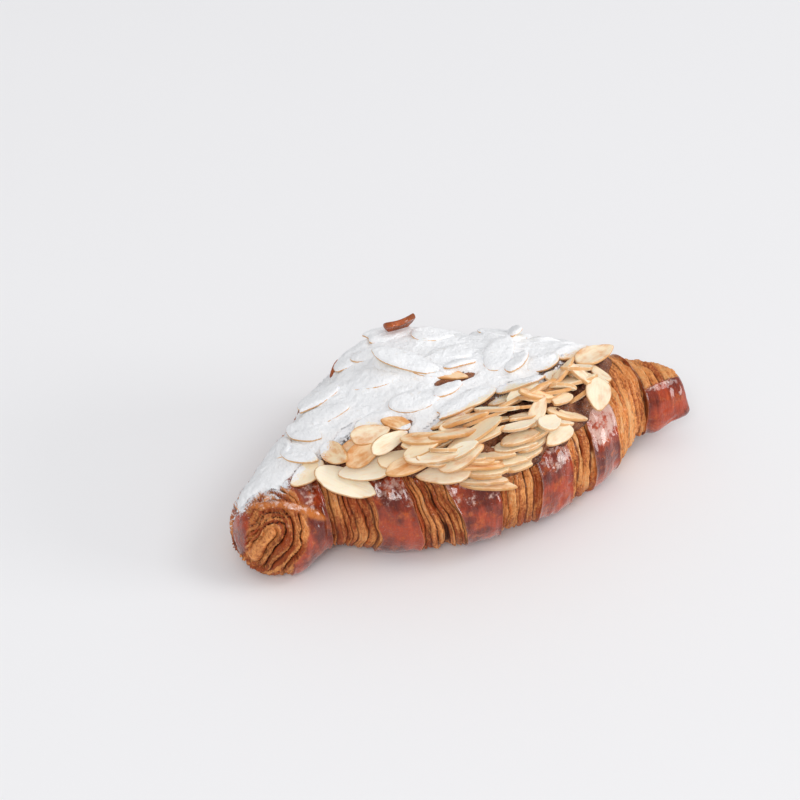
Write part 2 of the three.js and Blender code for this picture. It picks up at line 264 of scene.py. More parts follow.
def smoothstep(low, high, value):
    """0 at low, 1 at high and smooth between them; low may be the larger."""
    share = np.clip((value - low) / (high - low), 0, 1)
    return share * share * (3 - 2 * share)


def blend(share, a, b):
    return a * (1 - share) + b * share


def egg_distance(points, centre, half_size):
    """How far points are from the middle of an egg-shaped place, where 1 is its surface."""
    return np.linalg.norm((points - np.array(centre)) / np.array(half_size), axis=1)


# ---- Meshes ----


def add_object(name, data):
    """Puts a mesh, camera or light into the scene."""
    added = bpy.data.objects.new(name, data)
    bpy.context.scene.collection.objects.link(added)
    return added


def make_piece(name, points, faces, material, slot=None, replaces=(), attributes=None):
    """A smooth piece of the croissant; each attribute holds one number for each point."""
    mesh = bpy.data.meshes.new(name)
    mesh.from_pydata((np.asarray(points) * MM).tolist(), [], faces)
    mesh.polygons.foreach_set("use_smooth", np.ones(len(mesh.polygons), bool))
    for key, values in (attributes or {}).items():
        layer = mesh.attributes.new(key, "FLOAT", "POINT")
        layer.data.foreach_set("value", np.asarray(values, np.float32))
    mesh.materials.append(material)
    piece = add_object(name, mesh)
    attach(piece, "root")
    if replaces:
        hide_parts(*replaces)


def ring_faces(rings, around, first=0):
    """Quads between rings of points that close on themselves."""
    r, a = np.meshgrid(np.arange(rings - 1), np.arange(around), indexing="ij")
    b = (a + 1) % around
    quads = np.stack([r * around + a, (r + 1) * around + a, (r + 1) * around + b, r * around + b], -1)
    return (quads.reshape(-1, 4) + first).tolist()


def cap_faces(ring_start, around, pole, flip=False):
    """Triangles from one ring of points to a pole."""
    faces = []
    for a in range(around):
        b = (a + 1) % around
        corners = (ring_start + a, ring_start + b, pole)
        faces.append(corners[::-1] if flip else corners)
    return faces


def joined(parts):
    """Several meshes as one: points and faces."""
    points, faces, first = [], [], 0
    for part_points, part_faces in parts:
        points.append(part_points)
        faces += [tuple(i + first for i in face) for face in part_faces]
        first += len(part_points)
    return np.vstack(points), faces


def joined_tree(parts):
    """The surface of several meshes, ready for rays."""
    points, faces = joined(parts)
    return BVHTree.FromPolygons(points.tolist(), faces)


def node_points(name):
    """The corners of a CAD node."""
    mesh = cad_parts[name].data
    points = np.zeros(len(mesh.vertices) * 3)
    mesh.vertices.foreach_get("co", points)
    return points.reshape(-1, 3) / MM


def node_tree(name):
    """A CAD node's surface, ready for rays."""
    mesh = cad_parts[name].data
    faces = [tuple(p.vertices) for p in mesh.polygons]
    return BVHTree.FromPolygons([tuple(p) for p in node_points(name)], faces)


def cast(tree, origins, directions, reach=400.0):
    """Distance along each ray to the surface, or NaN where it misses; one direction may serve all."""
    found = np.full(len(origins), np.nan)
    directions = np.broadcast_to(directions, origins.shape)
    for i, (origin, direction) in enumerate(zip(origins.tolist(), directions.tolist())):
        hit = tree.ray_cast(origin, direction, reach)
        if hit[3] is not None:
            found[i] = hit[3]
    return found


def top_height(tree, plan):
    """Height of the highest surface over each point of a plan, or NaN."""
    starts = np.column_stack([plan[:, :2], np.full(len(plan), ABOVE)])
    return ABOVE - cast(tree, starts, -UP)


def blur(values, sigma, axis, wrap=False):
    """Gaussian blur along one axis of a grid."""
    reach = int(math.ceil(3 * sigma))
    offsets = np.arange(-reach, reach + 1)
    weights = np.exp(-0.5 * (offsets / sigma) ** 2)
    weights /= weights.sum()
    count = values.shape[axis]
    total = np.zeros_like(values)
    for offset, weight in zip(offsets, weights):
        index = np.arange(count) + offset
        index = index % count if wrap else np.clip(index, 0, count - 1)
        total += weight * np.take(values, index, axis)
    return total


def grid_normals(grid):
    """Outward normals of a closed grid of rings, from the differences between neighbours."""
    along = np.gradient(grid, axis=0)
    around = np.roll(grid, -1, 1) - np.roll(grid, 1, 1)
    normals = np.cross(around, along)
    return normals / np.maximum(np.linalg.norm(normals, axis=2, keepdims=True), 1e-9)


# ---- Dough shape ----


def middle_line():
    """The middle of the dough's section at each of the CAD node's rings: x, y, z."""
    points = node_points("croissant_dough")
    places = np.unique(np.round(points[:, 0], 1))
    line = []
    for x in places:
        ring = points[np.abs(points[:, 0] - x) < 0.06]
        low, high = ring.min(0), ring.max(0)
        z = low[2] + SPINE["centre"] * (high[2] - low[2])
        line.append((x, (low[1] + high[1]) / 2, z))
    return np.array(line)


def even_places(count):
    """Places along the middle line between the two fans of rays."""
    return np.linspace(SPINE["left"], SPINE["right"], count + 2)[1:-1]


def ring_places(count):
    """Places like those above, but closer together at the edges of the skin bands and creases."""
    fine = np.linspace(SPINE["left"], SPINE["right"], 4000)
    density = np.ones_like(fine)
    for edge in BAND_EDGES + [crease[0] for crease in CREASES]:
        density += 3.0 * np.exp(-(((fine - edge) / 0.5) ** 2))
    total = np.cumsum(density)
    wanted = (np.arange(count) + 1) / (count + 1) * total[-1]
    return np.interp(wanted, total, fine)


def ray_fan(counts, places):
    """Places of the ray origins on the middle line and the angle each ring of rays makes with -X."""
    left = np.linspace(0, 0.5 * math.pi, counts["left"] + 1)[1:]
    right = np.linspace(0.5 * math.pi, math.pi, counts["right"] + 1)[:-1]
    x = np.concatenate([np.full(len(left), SPINE["left"]), places, np.full(len(right), SPINE["right"])])
    return x, np.concatenate([left, np.full(len(places), 0.5 * math.pi), right])


def on_middle_line(x):
    """The points of the middle line at these places along it."""
    line_x, line_y, line_z = middle_line().T
    return np.stack([x, np.interp(x, line_x, line_y), np.interp(x, line_x, line_z)], -1)


def ray_directions(angle, around):
    """Directions for rings at these angles from -X; around is the turn about X, from +Y."""
    side = np.sin(angle)[:, None]
    endways = -np.cos(angle)[:, None] * np.ones_like(around)
    return np.stack([endways, side * np.cos(around), side * np.sin(around)], -1)


def sample(table, row, column):
    """Values of a table that closes on itself sideways, at fractional rows and columns."""
    low_row = np.clip(np.floor(row).astype(int), 0, len(table) - 2)
    row_share = np.clip(row - low_row, 0, 1)
    low_column = np.floor(column).astype(int)
    share = column - low_column
    width = table.shape[1]
    total = 0
    for i, j in product((0, 1), repeat=2):
        weight = (row_share if i else 1 - row_share) * (share if j else 1 - share)
        total = total + weight * table[low_row + i, (low_column + j) % width]
    return total


def even_turns(origins, directions, reach, turns):
    """Turns about X that share each ring out evenly, closer where the dough is seen most."""
    points = origins[:, None] + directions * reach[..., None]
    step = np.linalg.norm(np.roll(points, -1, 1) - points, axis=2)
    density = 0.45 + 0.75 * np.clip(-np.cos(turns + 0.35), 0, 1) + 0.2 * np.clip(np.cos(turns), 0, 1)
    cumulative = np.concatenate([np.zeros((len(step), 1)), np.cumsum(step * density, 1)], 1)
    cumulative /= cumulative[:, -1:]
    edges = np.append(turns, turns[0] + 2 * math.pi)
    wanted = np.arange(STATIONS["around"]) / STATIONS["around"]
    rows = [np.interp(wanted, row, edges) for row in cumulative]
    return blur(np.array(rows), 3, 0)


def sample_dough():
    """How far the CAD dough reaches along coarse rings of rays, and where finer rings put theirs."""
    tree = node_tree("croissant_dough")
    place, angle = ray_fan(SAMPLES, even_places(SAMPLES["middle"]))
    origins = on_middle_line(place)
    turns = -0.5 * math.pi + 2 * math.pi * np.arange(SAMPLES["around"]) / SAMPLES["around"]
    directions = ray_directions(angle, np.broadcast_to(turns, (len(angle), len(turns))))
    starts = np.repeat(origins[:, None], len(turns), 1)
    reach = cast(tree, starts.reshape(-1, 3), directions.reshape(-1, 3)).reshape(len(angle), -1)
    reach = np.where(np.isnan(reach), np.nanmedian(reach), reach)
    reach = blur(blur(reach, 5, 1, wrap=True), 1.2, 0)
    return place, angle, turns, reach, even_turns(origins, directions, reach, turns)


def dough_base():
    """A smooth fine grid over the CAD dough: points, outward normals and distance around, in mm.

    Its rings follow the folds of the dough, so that their edges stay crisp.
    """
    place, angle, turns, reach, table = sample_dough()
    ring_place, ring_angle = ray_fan(STATIONS, ring_places(STATIONS["middle"]))
    row = np.interp(ring_place - 30 * np.cos(ring_angle), place - 30 * np.cos(angle), np.arange(len(place)))
    low = np.clip(np.floor(row).astype(int), 0, len(table) - 2)
    share = (row - low)[:, None]
    around = table[low] * (1 - share) + table[low + 1] * share
    column = (around - turns[0]) / (2 * math.pi) * len(turns)
    rows_per_mm = (SAMPLES["middle"] + 1) / (SPINE["right"] - SPINE["left"])
    inner = np.minimum(ring_place - SPINE["left"], SPINE["right"] - ring_place)
    follow = smoothstep(0, 12, inner)[:, None]
    shift = np.zeros_like(around)
    for _ in range(4):
        fine_origins = on_middle_line(ring_place[:, None] - shift)
        fine_reach = sample(reach, row[:, None] - shift * rows_per_mm, column)
        grid = fine_origins + ray_directions(ring_angle, around) * fine_reach[..., None]
        shift = follow * fold_warp(grid.reshape(-1, 3)).reshape(shift.shape)
    return grid, grid_normals(grid), around * blur(fine_reach, 3, 0)


# ---- Dough relief ----


def band_mask(place, edge=0.14):
    """1 on the skin bands and 0 between them."""
    mask = np.zeros(len(place))
    for low, high in SKIN_BANDS:
        band = smoothstep(low - edge, low + edge, place) * smoothstep(high + edge, high - edge, place)
        mask = np.maximum(mask, band)
    return mask


def edge_nearness(place, width):
    """How near a place is to the free edge of a skin band, from 0 to 1."""
    near = np.zeros(len(place))
    for edge in BAND_EDGES:
        near = np.maximum(near, np.exp(-(((place - edge) / width) ** 2)))
    return near


def fold_warp(points):
    """How far the folds of the dough wander along the roll, and lean near its middle."""
    lean = 0.03 + 0.25 * np.exp(-(((points[:, 0] + 19) / 11) ** 2))
    wander = 1.2 * noise(points, (30, 15, 15), 1) + 0.6 * noise(points, (13, 6, 6), 2)
    return lean * (points[:, 2] - 24) + wander + 0.2 * noise(points, (6, 2.4, 2.4), 18)


def uneven_steps(widths, seed):
    """Edges along the whole roll with gaps of uneven width between them."""
    rng = np.random.default_rng(seed)
    low, high = widths
    return -110 + np.cumsum(rng.uniform(low, high, int(230 / low)))


def shingles(place, widths, seed):
    """Layers of uneven width side by side: height in each from 0 to 1, its number and nearest gap."""
    edges = uneven_steps(widths, seed)
    phase = np.interp(place, edges, np.arange(len(edges)))
    number = np.floor(phase)
    turn = phase - number
    peak = 0.5 + 0.34 * lattice(np.column_stack([number, number * 0, number * 0]).astype(np.int64), seed)
    slope = np.where(turn < peak, turn / peak, (1 - turn) / (1 - peak))
    return 1 - (1 - slope) ** 3.0, number, np.round(phase)


def layer_strength(points, number, size, seed):
    """A height for each layer that changes slowly along it, from 0 to 1."""
    own = np.column_stack([number * 7.3, points[:, 1] / size, points[:, 2] / size])
    return 0.5 + 0.5 * np.clip(1.5 * noise(own, 1, seed), -1, 1)


def layer_folds(points, place):
    """The baked layers that show between the skin bands: height, crest and tint."""
    drift = 1.3 * layered_noise(points, (22, 13, 13), 2, 5)
    fold, number, gap = shingles(place + drift, (1.1, 3.8), 7)
    crest = -0.2 + 1.0 * layer_strength(points, number, 9, 13)
    valley = -0.3 - 2.1 * layer_strength(points, gap, 10, 14) ** 1.6
    leaf, leaf_number, _ = shingles(place + drift + 0.6 * noise(points, (9, 7, 7), 15), (0.5, 1.05), 19)
    leaf_height = 0.25 + 0.85 * layer_strength(points, leaf_number, 5, 16)
    height = valley + (crest - valley) * fold + (leaf - 1) * leaf_height * (0.4 + 0.6 * fold)
    tint = 0.6 * layer_strength(points, number, 12, 35) + 0.4 * layer_strength(points, leaf_number, 6, 36)
    return height, fold * (0.35 + 0.65 * leaf), tint


def creases(points, place):
    """How deep the creases between the folds are."""
    total = np.zeros(len(place))
    for i, (at, depth, half_width) in enumerate(CREASES):
        strength = 0.65 + 0.35 * noise(points, (60, 12, 12), 40 + i)
        total += depth * strength * np.exp(-np.abs((place - at) / half_width) ** 1.5)
    return total


def roll_coordinates(points):
    """Distance from the long middle of the rolled-up end, the turn about it, and which side."""
    centre = np.array(ROLL["centre"])
    out = np.array(ROLL["out"]) / np.linalg.norm(ROLL["out"])
    long_axis = np.array(ROLL["long_axis"])
    long_axis = long_axis - out * (long_axis @ out)
    long_axis /= np.linalg.norm(long_axis)
    short_axis = np.cross(out, long_axis)
    offset = points - centre
    lengthwise = offset @ long_axis
    sideways = offset @ short_axis
    inward = offset @ out
    past_end = lengthwise - np.clip(lengthwise, -ROLL["half_core"], ROLL["half_core"])
    radius = np.sqrt(past_end**2 + sideways**2 + (0.3 * inward) ** 2)
    return radius, np.arctan2(sideways, lengthwise), sideways


def roll_relief(points):
    """The rolled-up end's folds: height, where they show, crest and tint."""
    radius, turn, sideways = roll_coordinates(points)
    radius = radius * (1 + 0.14 * layered_noise(points, 8, 2, 21)) + 0.4 * noise(points, 2.5, 24)
    tight = smoothstep(-1.5, 1.5, sideways)
    pitch = ROLL["pitch"] * (1 - 0.5 * tight)
    phase = (radius - ROLL["core"]) / pitch + 0.9 * turn / (2 * math.pi)
    number = np.floor(phase)
    part = phase - number
    fold = 1 - np.abs(2 * part - 1) ** 4
    crest = 0.8 * layer_strength(points, number, 6, 28)
    valley = -1.3 - 2.1 * layer_strength(points, np.round(phase), 7, 29)
    leaf_phase = radius / 0.75 + 0.6 * noise(points, 5, 23)
    leaves = np.abs(2 * np.mod(leaf_phase, 1) - 1)
    leaf_height = 0.4 + 1.0 * layer_strength(points, np.floor(leaf_phase), 4, 30)
    height = valley + (crest - valley) * fold - leaf_height * leaves
    core = smoothstep(ROLL["core"] + 0.5, ROLL["core"] - 0.3, radius)
    height = height * (1 - core) + core * (1.0 - 1.1 * (radius / ROLL["core"]) ** 2)
    rim = ROLL["radius"] + 1.2 * noise(points, 8, 22)
    shown = smoothstep(rim + 0.8, rim - 0.6, radius) * smoothstep(-60, -66, points[:, 0])
    tint = 0.85 * layer_strength(points, np.floor(leaf_phase), 7, 31) * (1 - core) + 0.6 * core
    return height, shown, np.maximum(fold, core) * (1 - 0.35 * leaves), tint


def strip_nearness(points):
    """How near a point is to the smooth strip over the left tip, from 0 to 1."""
    path = np.array(STRIP["path"], float)
    nearest = np.full(len(points), 1e9)
    for start, end in zip(path[:-1], path[1:]):
        step = end - start
        share = np.clip(((points - start) @ step) / (step @ step), 0, 1)
        nearest = np.minimum(nearest, np.linalg.norm(points - start - share[:, None] * step, axis=1))
    nearest += 0.5 * noise(points, 4, 25)
    return smoothstep(STRIP["half_width"] + 0.5, STRIP["half_width"] - 0.4, nearest)


def tip_layers(points):
    """Where the layered end of the roll shows on the right tip, from 0 to 1."""
    line = points[:, 1] + 20.5 + 0.6 * noise(points, 6, 27) - 0.12 * (points[:, 0] - 64)
    at_back_or_top = np.maximum(smoothstep(17, 20, points[:, 2]), smoothstep(6, 10, line))
    return smoothstep(0, 0.7, line) * smoothstep(63, 65, points[:, 0]) * at_back_or_top


def under_cream(points, normals):
    """Where the cream hides the dough, so that its relief does not poke through."""
    box_low, box_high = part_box("almond_cream")
    centre = (np.array(box_low) + np.array(box_high)) / 2 / MM
    half = (np.array(box_high) - np.array(box_low)) / 2 / MM
    offset = (points - centre) / half
    inside = smoothstep(0.98, 0.85, np.hypot(offset[:, 0], offset[:, 1]))
    return inside * smoothstep(0.5, 0.8, normals[:, 2])


def head_skin(points):
    """Where the patch of smooth skin shows at the far left of the rolled-up end."""
    distance = egg_distance(points, HEAD_SKIN["at"], HEAD_SKIN["half_size"])
    return smoothstep(1.1, 0.8, distance + 0.25 * noise(points, 4, 33))


def skin_share(points, place, roll_shown, strip):
    """Where the smooth outer skin of the dough shows, from 0 to 1."""
    skin = band_mask(place) * (1 - roll_shown)
    skin *= 1 - smoothstep(-63, -68, place) * smoothstep(-14, -11, points[:, 1])
    skin *= 1 - tip_layers(points)
    skin = np.maximum(skin, head_skin(points))
    return np.maximum(skin, strip)


def dough_relief(points, normals):
    """Height of the surface detail, with what the material needs to know about it."""
    place = points[:, 0] + fold_warp(points)
    roll_height, roll_shown, roll_crest, roll_tint = roll_relief(points)
    strip = strip_nearness(points)
    skin = skin_share(points, place, roll_shown, strip)

    layers, crest, tint = layer_folds(points, place)
    calm = smoothstep(-58, -63, points[:, 0]) * smoothstep(-17, -11, points[:, 1])
    layers = layers * (1 - 0.8 * calm)
    edge = edge_nearness(place, 0.55) * (1 - roll_shown) * (1 - strip)
    flutes = layered_noise(points, (3.2, 16, 16), 2, 3)
    dents = np.maximum(0, noise(points, 3.6, 6) - 0.45)
    smooth_skin = 0.35 + 0.4 * flutes + 0.3 * noise(points, 8, 4) + 0.1 * noise(points, 2.2, 9)
    smooth_skin += 0.5 * edge - 1.2 * dents
    plain = blend(roll_shown, layers - creases(points, place), roll_height)
    height = blend(skin, plain, smooth_skin) + 0.15 * strip
    height += 0.34 * layered_noise(points, (1.0, 1.9, 1.9), 2, 11) * (1 - skin)
    covered = under_cream(points, normals)
    height = blend(covered, height, -0.6)
    # Painted light: the folds' tint and the glaze patches are made paler towards the right, where more light
    # falls.
    painted_light_right = smoothstep(12, 45, points[:, 0])
    # Painted highlight: pale glaze patches on the upper shoulder of the skin bands, where the highlights
    # fall. They are partly a real pale glaze and partly painted highlights, with more of them towards the
    # right.
    shoulder = smoothstep(19, 27, points[:, 2]) * smoothstep(40, 33, points[:, 2])
    facts = {
        "skin": skin,
        "ridge": blend(roll_shown, crest, roll_crest),
        "tint": blend(roll_shown, tint, roll_tint) + 0.25 * painted_light_right,
        "height": height,
        "strip": strip,
        "edge": edge * skin,
        "glaze": skin * shoulder * (1 + 0.3 * painted_light_right),
        "along": place,
    }
    return height, facts


def draw_out_tip(points):
    """Flattens the end of the right tip and pulls its near lower corner out to a point."""
    points = points.copy()
    past_end = np.maximum(0, points[:, 0] - TIP_CORNER["end"])
    points[:, 0] -= TIP_CORNER["flatten"] * past_end
    tuck = TIP_CORNER["tuck"] * smoothstep(17, 8, points[:, 2])
    points[:, 2] += (TIP_CORNER["lift"] + tuck) * smoothstep(66, 80, points[:, 0])
    away = np.linalg.norm(points - np.array(TIP_CORNER["at"]), axis=1)
    return points + np.exp(-((away / TIP_CORNER["reach"]) ** 2))[:, None] * np.array(TIP_CORNER["pull"])


def make_curl(number, centre, along, across, size, bend):
    """A curled-up end of dough with everything its material needs."""
    along, across = np.array(along) / np.linalg.norm(along), np.array(across, float)
    up = np.cross(along, across)
    up /= np.linalg.norm(up)
    shape = slice_shape(number, np.array(centre), (along, np.cross(up, along), up), size, 0)
    shape["cup"], shape["curl"] = bend
    points, faces, _ = make_flake(shape, 0)
    facts = {key: np.full(len(points), value) for key, value in CURL_FACTS.items()}
    facts["along"], facts["round"] = points[:, 0], points[:, 2]
    return points, faces, facts


def make_dough():
    """The whole loaf, closed at both ends, with everything its material needs."""
    grid, normals, distance = dough_base()
    rings, around = grid.shape[:2]
    points, normals = grid.reshape(-1, 3), normals.reshape(-1, 3)
    height, facts = dough_relief(points, normals)
    facts["round"] = distance.ravel()
    base = smoothstep(0.3, 3.0, points[:, 2])
    raised = np.clip(height, RELIEF["lowest"], RELIEF["highest"]) * (0.25 + 0.75 * base)
    points = points + normals * raised[:, None]
    gap_below = 0.25 * (facts["ridge"] < 0.3) * (base < 0.3)
    points[:, 2] = np.maximum(points[:, 2], RELIEF["off_table"] + gap_below)
    points = draw_out_tip(points)
    poles = [points[:around].mean(0), points[-around:].mean(0)]
    points = np.vstack([points, poles])
    for key, values in facts.items():
        facts[key] = np.append(values, [values[:around].mean(), values[-around:].mean()])
    faces = [face[::-1] for face in ring_faces(rings, around)]
    faces += cap_faces(0, around, rings * around, flip=True)
    faces += cap_faces((rings - 1) * around, around, rings * around + 1)
    return points, faces, facts


# ---- Almond cream ----


def disc_grid(rings, around):
    """Radius and turn of a polar grid over the unit disc, without its middle."""
    radius = (np.arange(rings) + 1) / rings
    turn = 2 * math.pi * np.arange(around) / around
    return np.meshgrid(radius, turn, indexing="ij")


def cream_crumbs(points):
    """Height of the crumbs and lumps of the cream."""
    grains = np.maximum(0, noise(points, 1.9, 50)) ** 1.3 + 0.6 * np.maximum(0, noise(points, 1.0, 51)) ** 1.3
    return 0.5 * layered_noise(points, 6, 2, 52) + 2.4 * grains - 0.5


def cream_outline(tree, centre, turn):
    """How far the CAD cream reaches from its middle in each direction, by halving."""
    near, far = np.zeros(len(turn)), np.full(len(turn), 90.0)
    heading = np.column_stack([np.cos(turn), np.sin(turn)])
    for _ in range(12):
        middle = (near + far) / 2
        missed = np.isnan(top_height(tree, centre[:2] + heading * middle[:, None]))
        far = np.where(missed, middle, far)
        near = np.where(missed, near, middle)
    return near


def rise_to_slices(top_points, flakes_tree):
    """How far the cream swells up to hold the slices that lie over it."""
    gap = cast(flakes_tree, top_points, UP, 14.0)
    return np.where(np.isnan(gap), 0, np.maximum(0, 0.75 * gap - 0.8))


def make_cream(flakes_tree):
    """The cream, as an upper and a lower sheet joined at their rims."""
    rings, around = CREAM["rings"], CREAM["around"]
    tree = node_tree("almond_cream")
    low, high = (np.array(corner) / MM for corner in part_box("almond_cream"))
    centre = (low + high) / 2
    radius, turn = disc_grid(rings, around)
    plan = np.stack([np.cos(turn), np.sin(turn), np.zeros_like(turn)], -1)
    outer = cream_outline(tree, centre, turn[0]) * 0.995
    ragged = 1 - 0.03 * (1 + layered_noise(40 * plan[0], 6, 3, 55))
    flat = (centre[:2] + (radius * outer * ragged)[..., None] * plan[..., :2]).reshape(-1, 2)
    top = blur(blur(top_height(tree, flat).reshape(rings, around), 4, 1, wrap=True), 1.5, 0)
    upper = np.column_stack([flat, top.ravel()])
    rise = rise_to_slices(upper, flakes_tree).reshape(rings, around)
    rise = blur(blur(rise, 4, 1, wrap=True), 2.5, 0).ravel()
    edge = smoothstep(0.995, 0.94, radius.ravel())
    crumbs = cream_crumbs(upper) * (1 - 0.85 * smoothstep(0, 5, sugar_reach(upper)))
    upper[:, 2] += (rise + crumbs) * (0.25 + 0.75 * edge) - 1.2 * (1 - edge)
    lower = np.column_stack([flat, top.ravel() - CREAM["thickness"]])
    count = rings * around
    points = np.vstack([upper, lower, upper[:around].mean(0), lower[:around].mean(0)])
    faces = ring_faces(rings, around)
    faces += [face[::-1] for face in ring_faces(rings, around, count)]
    outer_ring = (rings - 1) * around
    for a in range(around):
        b = (a + 1) % around
        faces.append((outer_ring + a, count + outer_ring + a, count + outer_ring + b, outer_ring + b))
    faces += cap_faces(0, around, 2 * count)
    faces += cap_faces(count, around, 2 * count + 1, flip=True)
    return points, faces


# ---- Sliced almonds ----


def slice_names():
    """The CAD's slices in the order of their numbers."""
    return sorted(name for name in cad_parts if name.startswith("almond_slice"))


def slice_frame(name):
    """Middle, axes and sizes of a CAD slice: along it to its pointed end, across, and up."""
    points = node_points(name)
    centre = points.mean(0)
    _, vectors = np.linalg.eigh(np.cov((points - centre).T))
    up, across, along = vectors.T
    up = up if up[2] > 0 else -up
    offset = points - centre
    if np.sum((offset @ along) * (offset @ across) ** 2) > 0:
        along = -along
    axes = (along, np.cross(up, along), up)
    size = [np.ptp(offset @ axis) for axis in axes]
    middle = [(offset @ axis).max() + (offset @ axis).min() for axis in axes]
    centre = centre + sum(0.5 * m * axis for m, axis in zip(middle, axes))
    return centre, axes, size


def slice_outline(rng, around):
    """An almond's outline: blunt at one end, pointed at the other, sometimes with a broken end."""
    turn = 2 * math.pi * np.arange(around) / around
    point = rng.uniform(0.18, 0.34)
    narrow = rng.uniform(1.0, 1.28)
    x = np.cos(turn)
    y = np.sign(np.sin(turn)) * np.abs(np.sin(turn)) ** narrow * (1 - point * x)
    y /= np.abs(y).max()
    wobble = 1 + 0.018 * np.sin(3 * turn + rng.uniform(0, 6)) + 0.012 * np.sin(7 * turn + rng.uniform(0, 6))
    x, y = x * wobble, y * wobble
    if rng.random() < BROKEN_SHARE:
        broken = rng.uniform(0.55, 0.85) + 0.05 * np.sin(5 * y + rng.uniform(0, 6))
        x = np.minimum(x, broken + rng.uniform(-0.25, 0.25) * y)
    return x, y


def slice_shape(number, centre, axes, size, propped):
    """All that is needed to place a point of a slice: its frame, outline and bend."""
    rng = np.random.default_rng(100 + number)
    along, across, up = axes
    tilt = math.radians(propped if across[1] < 0 else -propped)
    cos, sin = math.cos(tilt), math.sin(tilt)
    across, up = cos * across + sin * up, cos * up - sin * across
    return {
        "number": number,
        "centre": centre,
        "axes": np.array([along, across, up]),
        "size": size,
        "outline": slice_outline(rng, FLAKE["around"]),
        "cup": rng.uniform(-0.4, 1.0) * FLAKE["cup"],
        "curl": rng.uniform(-0.3, 1.0) * FLAKE["cup"],
        "twist": rng.uniform(-0.35, 0.35),
    }


def slice_bend(shape, flat):
    """How far a slice bends up from its flat plane at points of its unit outline."""
    x, y = flat[:, 0], flat[:, 1]
    bend = shape["cup"] * (y**2 - 0.3) + shape["curl"] * (x**2 - 0.3) + shape["twist"] * x * y
    local = np.column_stack([x * shape["size"][0] / 2, y * shape["size"][1] / 2, np.zeros(len(x))])
    local = local + 50 * shape["number"]
    return bend + 0.16 * noise(local, 5, 700) + 0.06 * noise(local, 1.6, 701)


def slice_shell(shape, scale, shares, top, bottom):
    """A closed lens over a slice's outline; top and bottom give heights for the ring shares."""
    x, y = shape["outline"]
    rows = []
    for share in list(shares) + list(shares[-2::-1]):
        rows.append(np.column_stack([x * share * scale, y * share * scale]))
    flat = np.vstack(rows + [[[0.0, 0.0]], [[0.0, 0.0]]])
    around = len(x)
    heights = np.concatenate([top(shares), bottom(shares[-2::-1])])
    heights = np.append(np.repeat(heights, around), [top(np.zeros(1))[0], bottom(np.zeros(1))[0]])
    return flat, heights, len(rows)


def place_slice(shape, flat, heights):
    """Points of a slice in the row frame, from its unit outline and heights over its plane."""
    length, width = shape["size"][:2]
    x, y = flat[:, 0] * length / 2, flat[:, 1] * width / 2
    return shape["centre"] + np.column_stack([x, y, slice_bend(shape, flat) + heights]) @ shape["axes"]


def shell_faces(rows, around):
    """The faces of a closed lens made by slice_shell."""
    faces = ring_faces(rows, around)
    faces += cap_faces(0, around, rows * around)
    faces += cap_faces((rows - 1) * around, around, rows * around + 1, flip=True)
    return faces


def make_flake(shape, toast=None):
    """One sliced almond with everything its material needs."""
    half_thickness = shape["size"][2] / 2

    def half(shares):
        """Half thickness at shares of the way out: flat, and rounded off near the rim."""
        rim = np.clip((shares - 1 + FLAKE["edge"]) / FLAKE["edge"], 0, 1)
        return half_thickness * np.sqrt(1 - rim**2)

    flat, heights, rows = slice_shell(shape, 1.0, FLAKE_RINGS, half, lambda shares: -half(shares))
    points = place_slice(shape, flat, heights)
    rng = np.random.default_rng(400 + shape["number"])
    share = list(FLAKE_RINGS) + list(FLAKE_RINGS[-2::-1])
    toasted = MOST_TOASTED["packed"] * rng.random() ** 1.3 if toast is None else toast
    facts = {
        "rim": np.append(np.repeat(share, FLAKE["around"]), [0, 0]),
        "toast": np.full(len(points), toasted),
        "lengthwise": flat[:, 0],
        "crosswise": flat[:, 1],
        "pale": np.full(len(points), rng.random()),
        "seed": np.full(len(points), 10.0 * shape["number"]),
    }
    return points, shell_faces(rows, FLAKE["around"]), facts


def packed_slices():
    """The shapes of the sliced almonds that stand for the CAD's."""
    shapes = []
    for number, name in enumerate(slice_names(), 1):
        centre, axes, (length, width, thickness) = slice_frame(name)
        narrower = PACKED["propped_width"] if number in PROPPED else PACKED["width"]
        size = (length, width * narrower, thickness + PACKED["thicker"])
        shapes.append(slice_shape(number, centre, axes, size, PROPPED.get(number, 0)))
    return shapes


def heap_rows():
    """Rows like those of the loose slices, strewn at random over the heap at the front."""
    rng = np.random.default_rng(12)
    front, back = np.array(HEAP["front"], float), np.array(HEAP["back"], float)
    base, along_x, inwards = HEAP["heading"]
    rows = []
    for i in range(HEAP["count"]):
        x = rng.uniform(*HEAP["x"])
        low, high = np.interp(x, front[:, 0], front[:, 1]), np.interp(x, back[:, 0], back[:, 1])
        y = rng.uniform(low, high)
        heading = base + along_x * (x + 20) + inwards * (y - low) + rng.normal(0, 10)
        sizes = (rng.uniform(*HEAP["length"]), rng.uniform(*HEAP["width"]))
        propped = rng.uniform(*HEAP["propped"])
        rows.append((x, y, heading, *sizes, propped, MOST_TOASTED["heaped"] * rng.random() ** 1.8))
    return rows


def flat_axes(heading):
    """The axes of a level slice: along, across and up."""
    turn = math.radians(heading)
    along = np.array([math.cos(turn), math.sin(turn), 0])
    return along, np.cross(UP, along), UP


